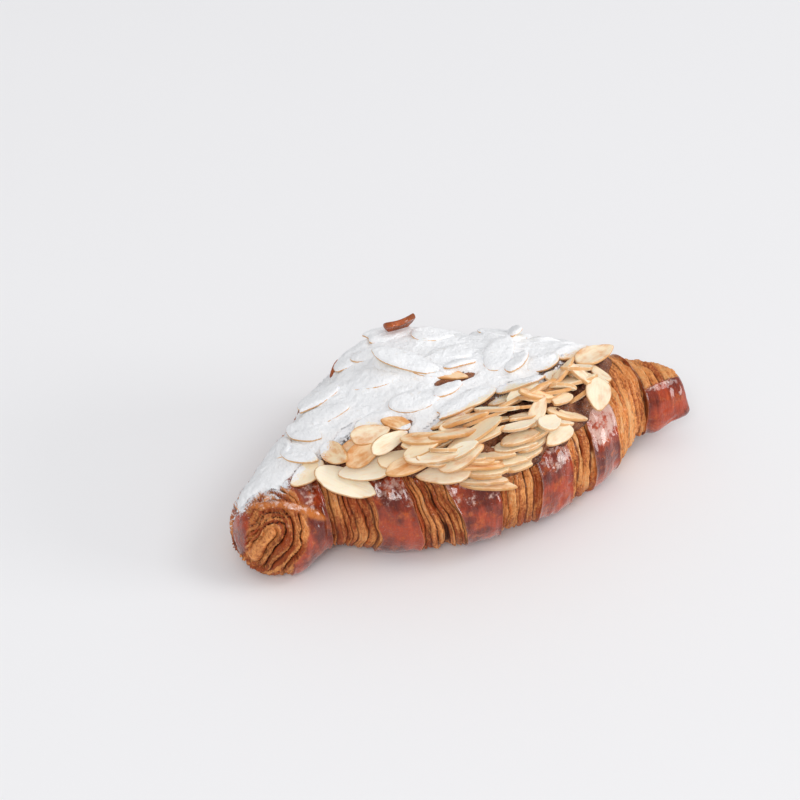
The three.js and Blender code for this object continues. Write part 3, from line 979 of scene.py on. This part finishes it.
def lie_on(trees, x, y, heading, length, width, propped):
    """Middle, axes and size of a slice that lies on whatever is highest under it."""
    along, across, _ = flat_axes(heading)
    spots = product((-0.3, 0, 0.3), repeat=2)
    probes = np.array([np.array([x, y, 0]) + along * length * s + across * width * t for s, t in spots])
    z = np.nanmax([top_height(tree, probes) for tree in trees], axis=0).reshape(3, 3)
    along = along + UP * np.clip((z[2].mean() - z[0].mean()) / (0.6 * length), -0.5, 0.5)
    along /= np.linalg.norm(along)
    across = across + UP * np.clip((z[:, 2].mean() - z[:, 0].mean()) / (0.6 * width), -0.6, 0.6)
    up = np.cross(along, across)
    up /= np.linalg.norm(up)
    across = np.cross(up, along)
    lift = 0.5 * FLAKE["loose_thickness"] + 0.22 * width * math.sin(math.radians(abs(propped)))
    centre = np.array([x, y, np.median(z)]) + UP * lift
    return centre, (along, across, up), (length, width, FLAKE["loose_thickness"])


def loose_slices(ground):
    """The shapes of the slices that the CAD leaves out, each laid on all that is already there."""
    shapes, flakes, trees = [], [], [ground]

    def lay(shape, toast):
        shapes.append(shape)
        flakes.append(make_flake(shape, toast))
        trees.append(joined_tree([flakes[-1][:2]]))

    for i, (x, y, z, heading, length, width, propped, toast) in enumerate(LEDGE_SLICES):
        size = (length, width, FLAKE["loose_thickness"])
        centre = np.array([x, y, z])
        lay(slice_shape(FIRST_LEDGE + i, centre, flat_axes(heading), size, propped), toast)
    for i, (*where, toast) in enumerate(heap_rows() + LOOSE_SLICES):
        centre, axes, size = lie_on(trees, *where)
        # A slice with nothing under it has NaN for its height, fails this test and is left out.
        if centre[2] <= HEAP["highest"]:
            lay(slice_shape(FIRST_HEAPED + i, centre, axes, size, where[-1]), toast)
    return shapes, flakes


# ---- Icing sugar ----


def sugar_reach(points):
    """How far a point lies behind the front border of the sugar, with a ragged edge."""
    border = np.array(SUGAR_BORDER, float)
    line = np.interp(points[:, 0], border[:, 0], border[:, 1])
    return points[:, 1] - line + 2.2 * layered_noise(points * [1, 1, 0], 9, 3, 60)


def vertex_normals(points, faces):
    """The outward direction at each point of a mesh."""
    normals = np.zeros_like(points)
    triangles = np.array([(f[0], f[i], f[i + 1]) for f in faces for i in range(1, len(f) - 1)])
    a, b, c = (points[triangles[:, i]] for i in range(3))
    face_normals = np.cross(b - a, c - a)
    for i in range(3):
        np.add.at(normals, triangles[:, i], face_normals)
    return normals / np.maximum(np.linalg.norm(normals, axis=1, keepdims=True), 1e-12)


def bareness(points):
    """Where a place stays clear of sugar, from 0 to 1."""
    bare = np.zeros(len(points))
    for centre, half_size in BARE_PLACES:
        bare = np.maximum(bare, smoothstep(1.2, 0.8, egg_distance(points, centre, half_size)))
    return bare


def sugar_attribute(points, faces, everything):
    """How much sugar lies on each vertex, from 0 to 1: less on steep places and under a roof."""
    normals = vertex_normals(points, faces)
    amount = smoothstep(-6.0, 5.0, sugar_reach(points)) * smoothstep(-0.05, 0.7, normals[:, 2])
    amount *= 1 - bareness(points)
    check = np.flatnonzero(amount > 0.01)
    starts = points[check] + normals[check] * 0.15 + UP * 0.1
    roof = cast(everything, starts, UP, 60.0)
    amount[check[~np.isnan(roof)]] *= 0.3
    return amount


def spread(values, reach, choose):
    """The largest or smallest value in the square around each cell."""
    best = values.copy()
    for axis in (0, 1):
        line = best.copy()
        for offset in range(1, reach + 1):
            line = choose(line, choose(np.roll(best, offset, axis), np.roll(best, -offset, axis)))
        best = line
    return best


def heights_under(tree, plan, wanted):
    """Height of the highest surface under each wanted plan point, or NaN."""
    height = np.full(len(plan), np.nan)
    height[wanted] = top_height(tree, plan[wanted])
    return height


def drift_cover(plan, reach, ground, smooth):
    """How far the sheet of sugar covers each cell, from 0 to 1: less near its border and on slopes."""
    steep = np.hypot(*np.gradient(smooth, SUGAR["cell"]))
    bare = bareness(np.column_stack([plan[:, :2], ground.ravel()])).reshape(ground.shape)
    near_border = smoothstep(SUGAR_EDGE["border"], SUGAR["fade"], reach.reshape(ground.shape))
    return near_border * smoothstep(2.6, 1.3, steep) * (1 - bare)


def drift_height(plan, ground, roof, smooth, cover):
    """Height of the sheet: banked up beside the slices, and sunk into the ground where it is bare."""
    closed = spread(spread(roof, SUGAR["close"], np.maximum), SUGAR["close"], np.minimum)
    banked = blur(blur(closed - ground, 1.4, 0), 1.4, 1)
    lumps = 1 + 0.2 * layered_noise(plan, 4.0, 2, 63).reshape(ground.shape)
    grain = 0.2 * layered_noise(plan, 1.5, 2, 64).reshape(ground.shape)
    level = np.maximum(0.15 * ground + 0.85 * smooth, ground - 0.25)
    level = level + np.clip(0.46 * banked, 0, SUGAR["fill"])
    height = level * cover + ground * (1 - cover)
    return height + (SUGAR["thickness"] * lumps + grain) * cover - 0.45 * (1 - cover)


def grid_mesh(x, y, height, keep):
    """Points and faces of a grid of heights, for the cells whose four corners are all kept."""
    whole = keep[:-1, :-1] & keep[1:, :-1] & keep[:-1, 1:] & keep[1:, 1:]
    rows, columns = whole.shape
    used = np.zeros(keep.shape, bool)
    for dx, dy in product((0, 1), repeat=2):
        used[dx : rows + dx, dy : columns + dy] |= whole
    number = np.full(keep.shape, -1)
    number[used] = np.arange(used.sum())
    quads = np.stack([number[:-1, :-1], number[1:, :-1], number[1:, 1:], number[:-1, 1:]], -1)
    return np.column_stack([x[used], y[used], height[used]]), quads[whole].tolist()


def make_drift(ground_tree, everything):
    """The sheet of sugar over the dough and cream, which banks up between the slices."""
    low, high = (np.array(corner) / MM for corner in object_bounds())
    xs = np.arange(low[0] + 1, high[0] - 1, SUGAR["cell"])
    ys = np.arange(low[1] + 1, high[1] - 1, SUGAR["cell"])
    x, y = np.meshgrid(xs, ys, indexing="ij")
    plan = np.column_stack([x.ravel(), y.ravel(), np.zeros(x.size)])
    reach = sugar_reach(plan)
    wanted = np.flatnonzero(reach > SUGAR_EDGE["border"])
    ground = heights_under(ground_tree, plan, wanted).reshape(x.shape)
    roof = heights_under(everything, plan, wanted).reshape(x.shape)
    known = ~np.isnan(ground) & (ground > SUGAR_EDGE["lowest"])
    ground = np.where(known, ground, 0)
    roof = np.maximum(np.where(known, roof, 0), ground)
    smooth = blur(blur(ground, 3, 0), 3, 1)
    cover = drift_cover(plan, reach, ground, smooth)
    keep = (spread(known.astype(float), 1, np.minimum) > 0.5) & (cover > SUGAR_EDGE["cover"])
    return grid_mesh(x, y, drift_height(plan, ground, roof, smooth, cover), keep)


def make_cap(shape, everything):
    """The pillow of sugar on one slice, or None where it is bare."""
    shares = np.append(FLAKE_RINGS[:-1], [0.99, 1.0])
    half_thickness = shape["size"][2] / 2

    def pillow(s):
        return np.sqrt(np.clip(1 - s**4, 0, 1))

    flat, lift, rows = slice_shell(shape, 0.975, shares, pillow, lambda s: 0 * s)
    base = place_slice(shape, flat, np.full(len(flat), half_thickness))
    cover = smoothstep(-0.5, 4.5, sugar_reach(base)) * (1 - bareness(base))
    if cover.max() < 0.1:
        return None
    starts = base + shape["axes"][2] * 0.1 + UP * 0.1
    roof = cast(everything, starts, UP, 40.0)
    cover = cover * np.where(np.isnan(roof), 1, np.clip(roof - 0.2, 0, 0.5))
    lumps = 1 + 0.25 * layered_noise(base, 3.5, 2, 71) + 0.25 * noise(base, 1.4, 72)
    side = np.where(lift > 0, 1.0, 0.0)
    heights = half_thickness - 0.3 + side * (lift * (SUGAR["cap"] * lumps + 0.3) * cover)
    points = place_slice(shape, flat, heights)
    return points, shell_faces(rows, FLAKE["around"])


# ---- Materials ----

SUGAR_WHITE = (0.90, 0.905, 0.93, 1)
SUGAR_SHEET = {
    "dull": (0.91, 0.912, 0.925, 1),
    "bright": (0.95, 0.95, 0.96, 1),
    "thin": (0.80, 0.72, 0.64, 1),
}
CREAM_COLOURS = {
    "dark": (0.15, 0.036, 0.013, 1),
    "brown": (0.42, 0.15, 0.06, 1),
    "crumb": (0.66, 0.36, 0.17, 1),
}
TABLE_COLOURS = [(0.86, 0.855, 0.865, 1), (0.87, 0.865, 0.875, 1)]
ALMOND = {
    "cream": (0.93, 0.77, 0.53, 1),
    "ivory": (0.95, 0.86, 0.68, 1),
    "honey": (0.92, 0.63, 0.36, 1),
    "tan": (0.74, 0.31, 0.09, 1),
    "rim": (0.66, 0.32, 0.10, 1),
}
DOUGH = {
    "deep_red": (0.13, 0.011, 0.002, 1),
    "red": (0.44, 0.047, 0.006, 1),
    "orange": (0.70, 0.15, 0.020, 1),
    "tan": (0.60, 0.17, 0.022, 1),
    "pale_edge": (0.78, 0.34, 0.10, 1),
    "brown": (0.41, 0.088, 0.026, 1),
    "gold": (0.92, 0.38, 0.12, 1),
    "pale_gold": (0.92, 0.54, 0.25, 1),
    # Painted shade in the valleys between the bare layers.
    "dark": (0.12, 0.022, 0.006, 1),
    # A pale glaze, partly a real glaze and partly painted highlight.
    "glaze": (0.80, 0.56, 0.48, 1),
    # Painted shade for the deepest recesses of the relief.
    "gap": (0.06, 0.010, 0.004, 1),
}


class Nodes:
    """A short way to write a material's node tree. In names of inputs, _ stands for a space."""

    def __init__(self, name):
        self.material = bpy.data.materials.new(name)
        self.material.use_nodes = True
        self.tree = self.material.node_tree
        self.tree.nodes.clear()
        self.shader = self.add("BsdfPrincipled")
        output = self.add("OutputMaterial")
        self.tree.links.new(self.shader.outputs[0], output.inputs["Surface"])

    def put(self, socket, value):
        if isinstance(value, bpy.types.NodeSocket):
            self.tree.links.new(value, socket)
        else:
            socket.default_value = value

    def fill(self, node, **inputs):
        for key, value in inputs.items():
            self.put(node.inputs[key.replace("_", " ")], value)
        return node

    def add(self, kind, **inputs):
        return self.fill(self.tree.nodes.new("ShaderNode" + kind), **inputs)

    def surface(self, **inputs):
        """Finishes the material with these inputs of its shader."""
        self.fill(self.shader, **inputs)
        return self.material

    def attribute(self, name):
        node = self.add("Attribute")
        node.attribute_name = name
        return node.outputs["Fac"]

    def place(self):
        return self.add("TexCoord").outputs["Object"]

    def stretched(self, scale, vector):
        return self.add("Mapping", Vector=vector, Scale=scale).outputs[0]

    def noise(self, scale, detail=3.0, rough=0.55, vector=None):
        vector = vector or self.place()
        node = self.add("TexNoise", Vector=vector, Scale=scale, Detail=detail, Roughness=rough)
        return node.outputs["Fac"]

    def spots(self, scale):
        return self.add("TexVoronoi", Vector=self.place(), Scale=scale).outputs["Distance"]

    def math(self, operation, a, b):
        node = self.add("Math")
        node.operation = operation
        self.put(node.inputs[0], a)
        self.put(node.inputs[1], b)
        return node.outputs[0]

    def total(self, *terms):
        """The sum of values, each given with its weight."""
        parts = [value if weight == 1 else self.math("MULTIPLY", value, weight) for value, weight in terms]
        so_far = parts[0]
        for part in parts[1:]:
            so_far = self.math("ADD", so_far, part)
        return so_far

    def centred(self, value):
        return self.math("SUBTRACT", value, 0.5)

    def ramp(self, value, low, high, start=0.0, end=1.0):
        """Start at low, end at high and smooth between them; low may be the larger."""
        node = self.add("MapRange", Value=value, From_Min=low, From_Max=high, To_Min=start, To_Max=end)
        node.interpolation_type = "SMOOTHSTEP"
        return node.outputs[0]

    def mix(self, share, a, b, kind="RGBA"):
        """A share of the way from a to b: colours, or numbers with the kind FLOAT."""
        first, output = {"RGBA": (6, 2), "FLOAT": (2, 0)}[kind]
        node = self.add("Mix")
        node.data_type = kind
        for socket, value in ((0, share), (first, a), (first + 1, b)):
            self.put(node.inputs[socket], value)
        return node.outputs[output]

    def bump(self, height, strength, distance):
        return self.add("Bump", Height=height, Strength=strength, Distance=distance).outputs[0]

    def sugar(self, colour, roughness, low=0.3, high=0.8):
        """Powders a colour and its roughness by the sugar attribute, broken up into grains."""
        speckle = self.total((self.noise(1900, 2, 0.8), 1.3), (self.noise(320, 4, 0.7), 0.8))
        amount = self.math("ADD", self.attribute("sugar"), self.math("SUBTRACT", speckle, 1.05))
        share = self.ramp(amount, low, high)
        return self.mix(share, colour, SUGAR_WHITE), self.mix(share, roughness, 0.9, "FLOAT"), share


def skin_colour(n, broad, blotch, folds):
    """The outer skin: reds in clouds and blotches, a tan strip and pale free edges."""
    bands = n.noise(1.0, 3, 0.6, n.stretched((0.5, 0.06, 1), folds))
    red = n.mix(n.ramp(n.total((broad, 0.75), (bands, 0.25)), 0.4, 0.62), DOUGH["deep_red"], DOUGH["red"])
    red = n.mix(n.ramp(blotch, 0.48, 0.74, 0, 0.6), red, DOUGH["orange"])
    red = n.mix(n.math("MULTIPLY", n.attribute("strip"), 0.9), red, DOUGH["tan"])
    return n.mix(n.ramp(n.attribute("edge"), 0.75, 1.0, 0, 0.5), red, DOUGH["pale_edge"])


def fold_colour(n, broad, crumb, lines):
    """The bare layers: brown to pale gold by their tint, which is also made paler towards the right as
    painted light, and darkened by painted shade between them.
    """
    tone = n.total((n.attribute("tint"), 1), (n.centred(lines), 0.8), (n.centred(crumb), 1.3))
    gold = n.mix(n.ramp(tone, 0.12, 0.85), DOUGH["brown"], DOUGH["gold"])
    gold = n.mix(n.ramp(tone, 0.75, 1.15, 0, 0.8), gold, DOUGH["pale_gold"])
    gold = n.mix(n.ramp(broad, 0.5, 0.7, 0, 0.35), gold, DOUGH["red"])
    # Painted shade: the valleys between the layers, where the crest is low, are darkened.
    return n.mix(n.ramp(n.attribute("ridge"), 0.62, 0.12, 0, 0.85), gold, DOUGH["dark"])


def dough_material():
    n = Nodes("baked_dough")
    skin = n.attribute("skin")
    folds = n.add("CombineXYZ", X=n.attribute("along"), Y=n.attribute("round")).outputs[0]
    lines = n.noise(1.0, 4, 0.65, n.stretched((2.2, 0.16, 1), folds))
    broad = n.noise(90)
    blotch = n.noise(300, 4, 0.65)
    crumb = n.noise(1100, 3, 0.6)

    colour = n.mix(skin, fold_colour(n, broad, crumb, lines), skin_colour(n, broad, blotch, folds))
    # Painted shade: the deepest recesses of the relief are darkened to near black.
    colour = n.mix(n.ramp(n.attribute("height"), -0.9, -2.2, 0, 0.9), colour, DOUGH["gap"])
    # Painted highlight: pale patches on the skin's shoulders, partly a real glaze and partly painted
    # highlights.
    patchy = n.total((n.attribute("glaze"), 1), (n.noise(380, 4, 0.7), 2.0))
    colour = n.mix(n.ramp(patchy, 1.95, 2.35, 0, 0.75), colour, DOUGH["glaze"])
    dry, smooth = n.ramp(crumb, 0.3, 0.7, 0.45, 0.65), n.ramp(blotch, 0.3, 0.7, 0.28, 0.42)
    colour, rough, sugar = n.sugar(colour, n.mix(skin, dry, smooth, "FLOAT"), 0.22, 0.7)

    puckers = n.noise(1.0, 3, 0.5, n.stretched((1.1, 0.2, 1), folds))
    grain = n.total((lines, 2.0), (crumb, 1))
    wrinkle = n.total((n.noise(420, 3, 0.5), 2.0), (puckers, 2.2))
    return n.surface(
        Base_Color=colour,
        Roughness=rough,
        Specular_IOR_Level=0.1,
        Coat_Weight=n.math("MULTIPLY", n.mix(skin, 0.2, 1.0, "FLOAT"), n.math("SUBTRACT", 1.0, sugar)),
        Coat_Roughness=0.07,
        Coat_IOR=1.52,
        Normal=n.bump(n.mix(skin, grain, wrinkle, "FLOAT"), 0.9, 0.0006),
    )


def cream_material():
    n = Nodes("almond_cream_baked")
    grains = n.spots(900)
    colour = n.mix(n.ramp(n.noise(130, 4, 0.6), 0.35, 0.65), CREAM_COLOURS["dark"], CREAM_COLOURS["brown"])
    colour = n.mix(n.ramp(grains, 0.35, 0.05, 0, 0.6), colour, CREAM_COLOURS["crumb"])
    colour, rough, sugar = n.sugar(colour, 0.6, 0.1, 0.5)
    relief = n.math("ADD", n.noise(1100, 4, 0.65), grains)
    relief = n.math("MULTIPLY", relief, n.ramp(sugar, 0.0, 1.0, 1.0, 0.3))
    return n.surface(Base_Color=colour, Roughness=rough, Normal=n.bump(relief, 1.0, 0.0012))


def almond_material():
    n = Nodes("sliced_almond")
    rim = n.attribute("rim")
    x, y, seed = n.attribute("lengthwise"), n.attribute("crosswise"), n.attribute("seed")
    own = n.add("CombineXYZ", X=x, Y=y, Z=seed).outputs[0]
    cloud = n.noise(1.0, 3, 0.6, n.stretched((1.3, 1.3, 1), own))
    fibre = n.noise(1.0, 3, 0.6, n.stretched((1.2, 5, 1), own))
    fine = n.noise(900, 3, 0.6)
    ivory = n.mix(n.attribute("pale"), ALMOND["cream"], ALMOND["ivory"])
    ivory = n.mix(n.ramp(fibre, 0.45, 0.72, 0, 0.35), ivory, ALMOND["honey"])
    tan = n.mix(n.ramp(cloud, 0.35, 0.7), ALMOND["honey"], ALMOND["tan"])
    baked = n.total((n.attribute("toast"), 1), (n.centred(cloud), 1.1), (n.ramp(rim, 0.75, 1.0), 0.16))
    colour = n.mix(n.ramp(baked, 0.2, 0.95), ivory, tan)
    browned = n.total((rim, 1), (n.centred(fibre), 0.12))
    colour = n.mix(n.ramp(browned, 0.94, 0.99, 0, 0.8), colour, ALMOND["rim"])
    colour, rough, _ = n.sugar(colour, n.ramp(fine, 0.3, 0.7, 0.42, 0.58))
    return n.surface(
        Base_Color=colour,
        Roughness=rough,
        Specular_IOR_Level=0.3,
        Subsurface_Weight=0.12,
        Subsurface_Radius=(0.0012, 0.0008, 0.0004),
        Normal=n.bump(n.total((fine, 1), (fibre, 1.5)), 0.35, 0.0002),
    )


def sugar_material():
    n = Nodes("icing_sugar")
    colour = n.mix(n.ramp(n.noise(160), 0.35, 0.7), SUGAR_SHEET["dull"], SUGAR_SHEET["bright"])
    colour = n.mix(n.ramp(n.noise(420, 4, 0.7), 0.6, 0.72, 0, 0.5), colour, SUGAR_SHEET["thin"])
    relief = n.total((n.noise(1300, 3, 0.7), 1), (n.noise(520, 3, 0.6), 2.0))
    return n.surface(
        Base_Color=colour,
        Roughness=0.95,
        Specular_IOR_Level=0.2,
        Subsurface_Weight=0.1,
        Subsurface_Radius=(0.001, 0.001, 0.001),
        Normal=n.bump(relief, 0.9, 0.00042),
    )


def floor_material():
    n = Nodes("plain_table")
    return n.surface(Base_Color=n.mix(n.noise(6, 2), *TABLE_COLOURS), Roughness=0.7, Specular_IOR_Level=0.2)


# ---- Stage ----


def make_floor():
    side = FLOOR_HALF_SIZE
    mesh = bpy.data.meshes.new("floor")
    corners = [(-side, -side, 0), (side, -side, 0), (side, side, 0), (-side, side, 0)]
    mesh.from_pydata(corners, [], [(0, 1, 2, 3)])
    mesh.materials.append(floor_material())
    floor = add_object("floor", mesh)
    floor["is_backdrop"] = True


def stand(camera_or_light, azimuth, elevation, distance, aim):
    """Stands it this far from its aim, turned so far to the right of the front and raised, facing it."""
    azimuth, elevation = math.radians(azimuth), math.radians(elevation)
    level = math.cos(elevation)
    back = Vector((math.sin(azimuth) * level, -math.cos(azimuth) * level, math.sin(elevation)))
    target = Vector(aim) * MM
    camera_or_light.location = target + back * distance * MM
    facing = target - camera_or_light.location
    camera_or_light.rotation_euler = facing.to_track_quat("-Z", "Y").to_euler()


def make_camera():
    data = bpy.data.cameras.new("camera")
    data.lens = CAMERA["lens"]
    data.clip_start = 0.01
    camera = add_object("camera", data)
    stand(camera, CAMERA["azimuth"], CAMERA["elevation"], CAMERA["distance"], CAMERA["aim"])
    bpy.context.scene.camera = camera


def make_lights():
    for name, (azimuth, elevation, size, power) in LIGHTS.items():
        data = bpy.data.lights.new(name, "AREA")
        data.shape = "RECTANGLE"
        data.size, data.size_y = size
        data.energy = power
        stand(add_object(name, data), azimuth, elevation, LIGHT_DISTANCE, LIGHT_AIM)


def make_sky():
    world = bpy.data.worlds.new("studio")
    world.use_nodes = True
    background = world.node_tree.nodes["Background"]
    for key, value in SKY.items():
        background.inputs[key].default_value = value
    bpy.context.scene.world = world


# ---- Building it ----


def build_dough(dough, everything):
    """The loaf with its uneven dusting, and its curled-up ends."""
    points, faces, facts = dough
    settled = 0.6 + 0.4 * facts["ridge"]
    patchy = 0.85 + 0.35 * layered_noise(points, 4, 3, 75)
    facts["sugar"] = sugar_attribute(points, faces, everything) * settled * patchy
    material = dough_material()
    make_piece("dough", points, faces, material, "dough", ["croissant_dough"], facts)
    for i, row in enumerate(CURLS):
        points, faces, facts = make_curl(*row)
        make_piece(f"dough_curl_{i + 1}", points, faces, material, "dough", [], facts)


def build_cream(cream, everything):
    facts = {"sugar": sugar_attribute(*cream, everything)}
    make_piece("cream", *cream, cream_material(), "cream", ["almond_cream"], facts)


def build_slices(flakes, loose, everything):
    """A piece for each slice. The loose ones stand for no node of the CAD."""
    material = almond_material()
    cad_names = slice_names() + [None] * len(loose)
    names = [name.replace("almond_", "flake_") for name in slice_names()]
    names += [f"loose_slice_{i + 1:02d}" for i in range(len(loose))]
    for name, cad_name, (points, faces, facts) in zip(names, cad_names, flakes + loose):
        facts["sugar"] = sugar_attribute(points, faces, everything)
        make_piece(name, points, faces, material, "almond", [cad_name] if cad_name else [], facts)


def build():
    """Each layer is laid on the ones before it, and the sugar falls on all of them."""
    dough = make_dough()
    shapes = packed_slices()
    flakes = [make_flake(shape, TOAST.get(shape["number"])) for shape in shapes]
    cream = make_cream(joined_tree([flake[:2] for flake in flakes]))
    ground = [dough[:2], cream]
    loose_shapes, loose = loose_slices(joined_tree(ground + [flake[:2] for flake in flakes]))
    everything = joined_tree(ground + [flake[:2] for flake in flakes + loose])
    build_dough(dough, everything)
    build_cream(cream, everything)
    build_slices(flakes, loose, everything)
    parts = [make_drift(joined_tree(ground), everything)]
    parts += [cap for cap in (make_cap(shape, everything) for shape in shapes + loose_shapes) if cap]
    make_piece("icing_sugar", *joined(parts), sugar_material())


build()
make_floor()
make_camera()
make_lights()
make_sky()
bpy.context.scene.view_settings.view_transform = "Standard"
